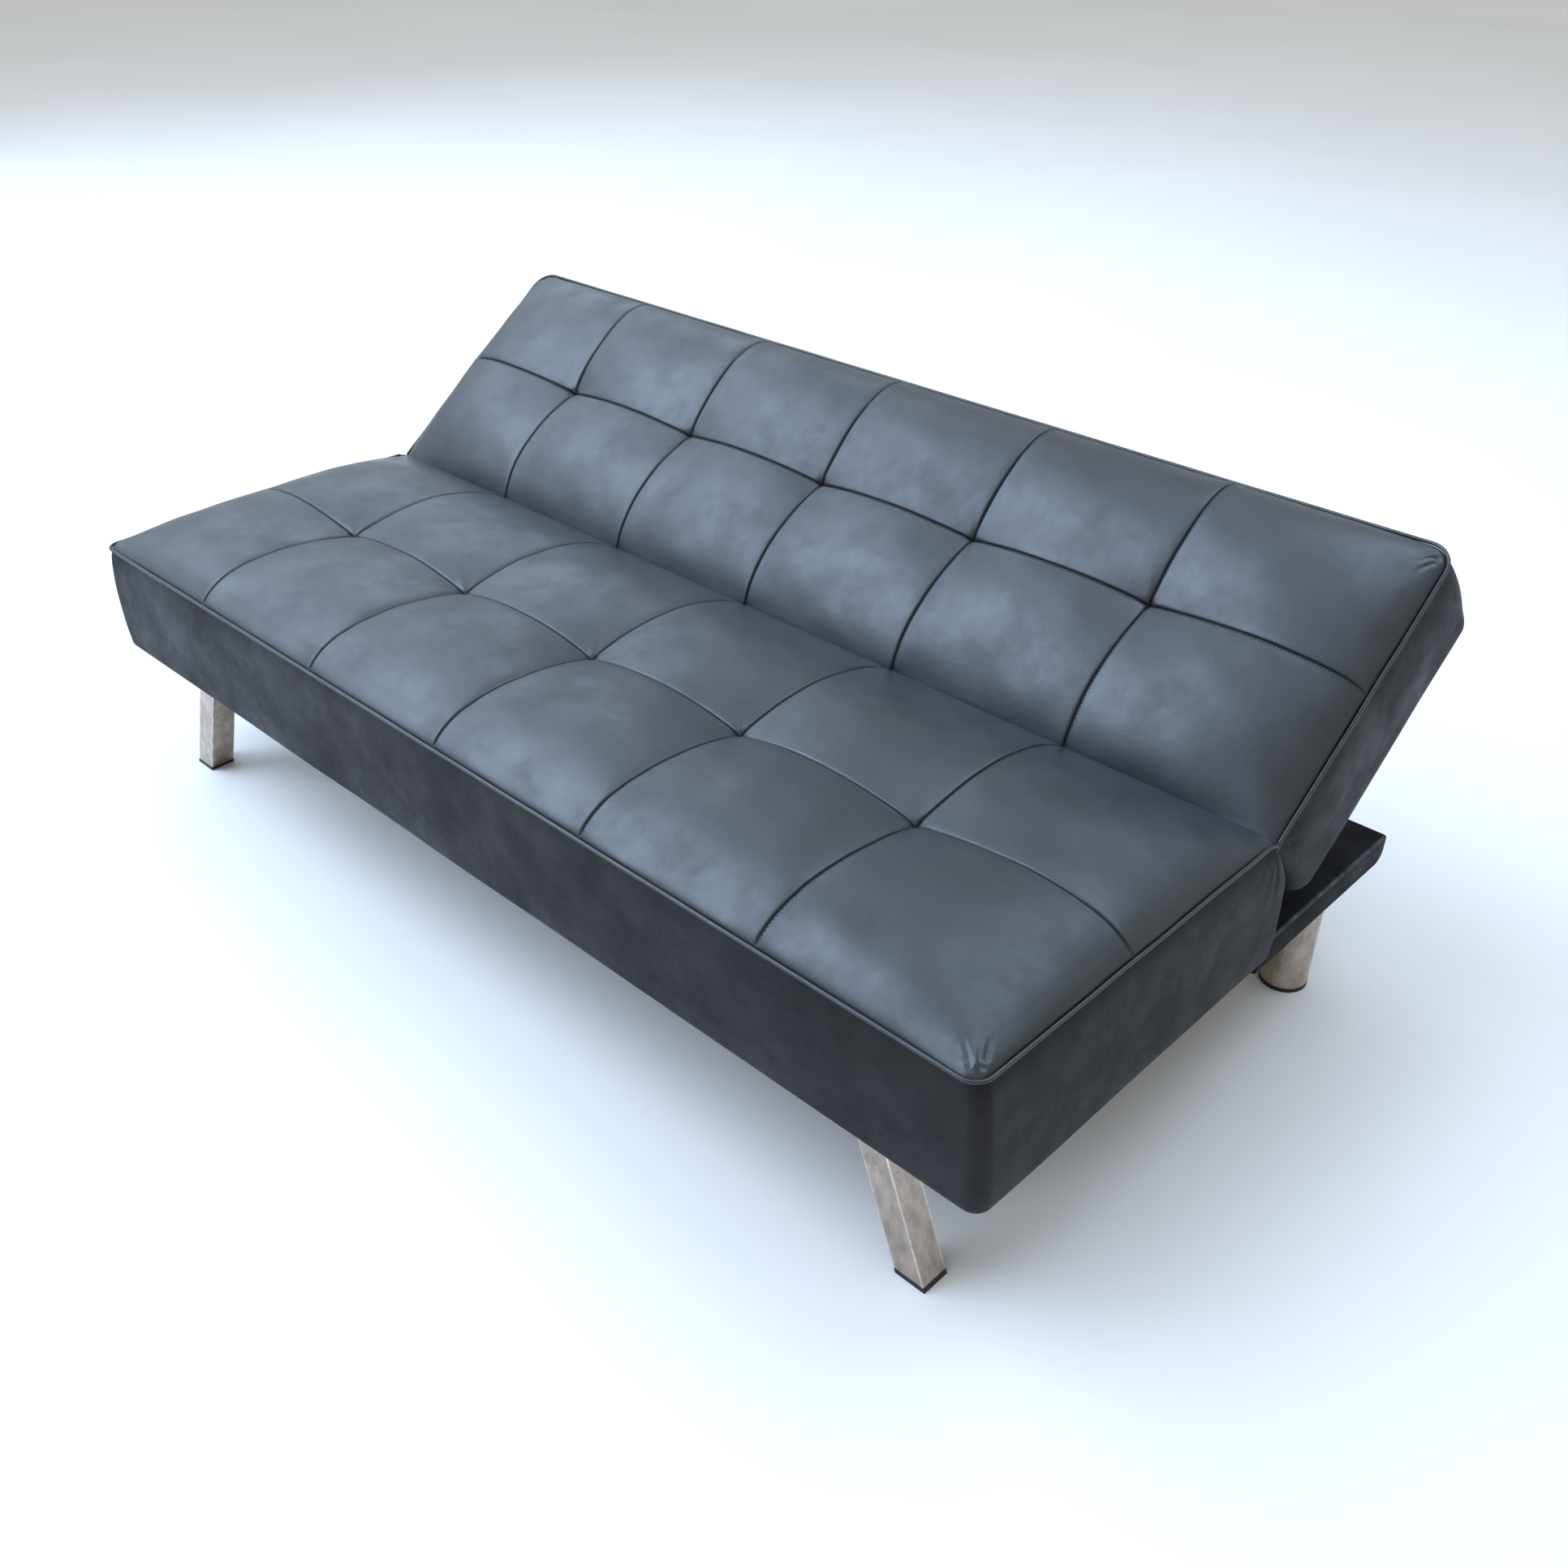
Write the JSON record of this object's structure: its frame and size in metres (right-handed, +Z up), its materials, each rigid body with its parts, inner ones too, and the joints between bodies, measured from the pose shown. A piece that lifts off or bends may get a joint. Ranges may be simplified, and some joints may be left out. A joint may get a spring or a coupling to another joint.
{
  "type": "futon sofa bed",
  "caption": "Tufted black faux-leather click-clack sofa bed: the back swings from flat through lounging to upright, on splayed square front legs and round rear legs under a rear board.",
  "frame": {"origin": "on the floor under the middle of the footprint, at rest with the back in its lounging position", "axes": "+X along the length, to the right as seen from the front; -Y is the front, where a sitter's legs go; +Z up"},
  "size_m": [1.728, 0.979, 0.6358],
  "materials": {
    "black_leatherette": "satin",
    "board_leatherette": "satin",
    "black_piping": "satin",
    "black_lining": "matte",
    "padding_foam": "matte",
    "timber": "matte",
    "chrome_tube": "polished",
    "zinc_steel": "satin",
    "black_plastic": "matte"
  },
  "bodies": {
    "seat": {"base_bearer_left": "timber", "base_bearer_right": "timber", "bearer_bolt_left": "zinc_steel", "bearer_bolt_right": "zinc_steel", "front_foot_cap_left": "black_plastic", "front_foot_cap_right": "black_plastic", "front_leg_flange_left": "zinc_steel", "front_leg_flange_right": "zinc_steel", "front_leg_left": "chrome_tube", "front_leg_right": "chrome_tube", "hinge_pivot_left": "zinc_steel", "hinge_pivot_right": "zinc_steel", "hinge_seat_bolt_left_1": "zinc_steel", "hinge_seat_bolt_left_2": "zinc_steel", "hinge_seat_bolt_right_1": "zinc_steel", "hinge_seat_bolt_right_2": "zinc_steel", "hinge_seat_plate_left": "zinc_steel", "hinge_seat_plate_right": "zinc_steel", "joining_plate_left": "zinc_steel", "joining_plate_right": "zinc_steel", "pawl_pin_left": "zinc_steel", "pawl_pin_right": "zinc_steel", "pawl_spring_left": "zinc_steel", "pawl_spring_right": "zinc_steel", "rear_board": "timber", "rear_board_wrap": "board_leatherette", "rear_foot_cap_left": "black_plastic", "rear_foot_cap_right": "black_plastic", "rear_leg_left": "chrome_tube", "rear_leg_mount_left": "zinc_steel", "rear_leg_mount_right": "zinc_steel", "rear_leg_right": "chrome_tube", "seat_cover": "black_leatherette", "seat_dust_cover": "black_lining", "seat_foam": "padding_foam", "seat_front_rail": "timber", "seat_left_rail": "timber", "seat_rear_rail": "timber", "seat_rib_center": "timber", "seat_rib_left": "timber", "seat_rib_right": "timber", "seat_right_rail": "timber", "seat_welt": "black_piping"},
    "backrest": {"back_bottom_rail": "timber", "back_cover": "black_leatherette", "back_foam": "padding_foam", "back_left_rail": "timber", "back_rear_panel": "black_lining", "back_rib": "timber", "back_right_rail": "timber", "back_top_rail": "timber", "back_welt": "black_piping", "hinge_back_bolt_left_1": "zinc_steel", "hinge_back_bolt_left_2": "zinc_steel", "hinge_back_bolt_right_1": "zinc_steel", "hinge_back_bolt_right_2": "zinc_steel", "hinge_back_plate_left": "zinc_steel", "hinge_back_plate_right": "zinc_steel"},
    "pawl_left": {"pawl_left": "zinc_steel"},
    "pawl_right": {"pawl_right": "zinc_steel"}
  },
  "joints": [
    {"name": "back_recline", "type": "hinge", "parent": "seat", "child": "backrest", "pos_m": [0, 0.09754, 0.32], "axis": [1, 0, 0], "range_deg": [-37.2, 36]},
    {"name": "pawl_left_lift", "type": "hinge", "parent": "seat", "child": "pawl_left", "pos_m": [-0.8154, 0.05056, 0.3029], "axis": [1, 0, 0], "range_deg": [0, 14], "stiffness_Nm_per_rad": 0.4, "springref_deg": -8.59, "deforming": ["pawl_spring_left"]},
    {"name": "pawl_right_lift", "type": "hinge", "parent": "seat", "child": "pawl_right", "pos_m": [0.8154, 0.05056, 0.3029], "axis": [1, 0, 0], "range_deg": [0, 14], "stiffness_Nm_per_rad": 0.4, "springref_deg": -8.59, "deforming": ["pawl_spring_right"]}
  ]
}
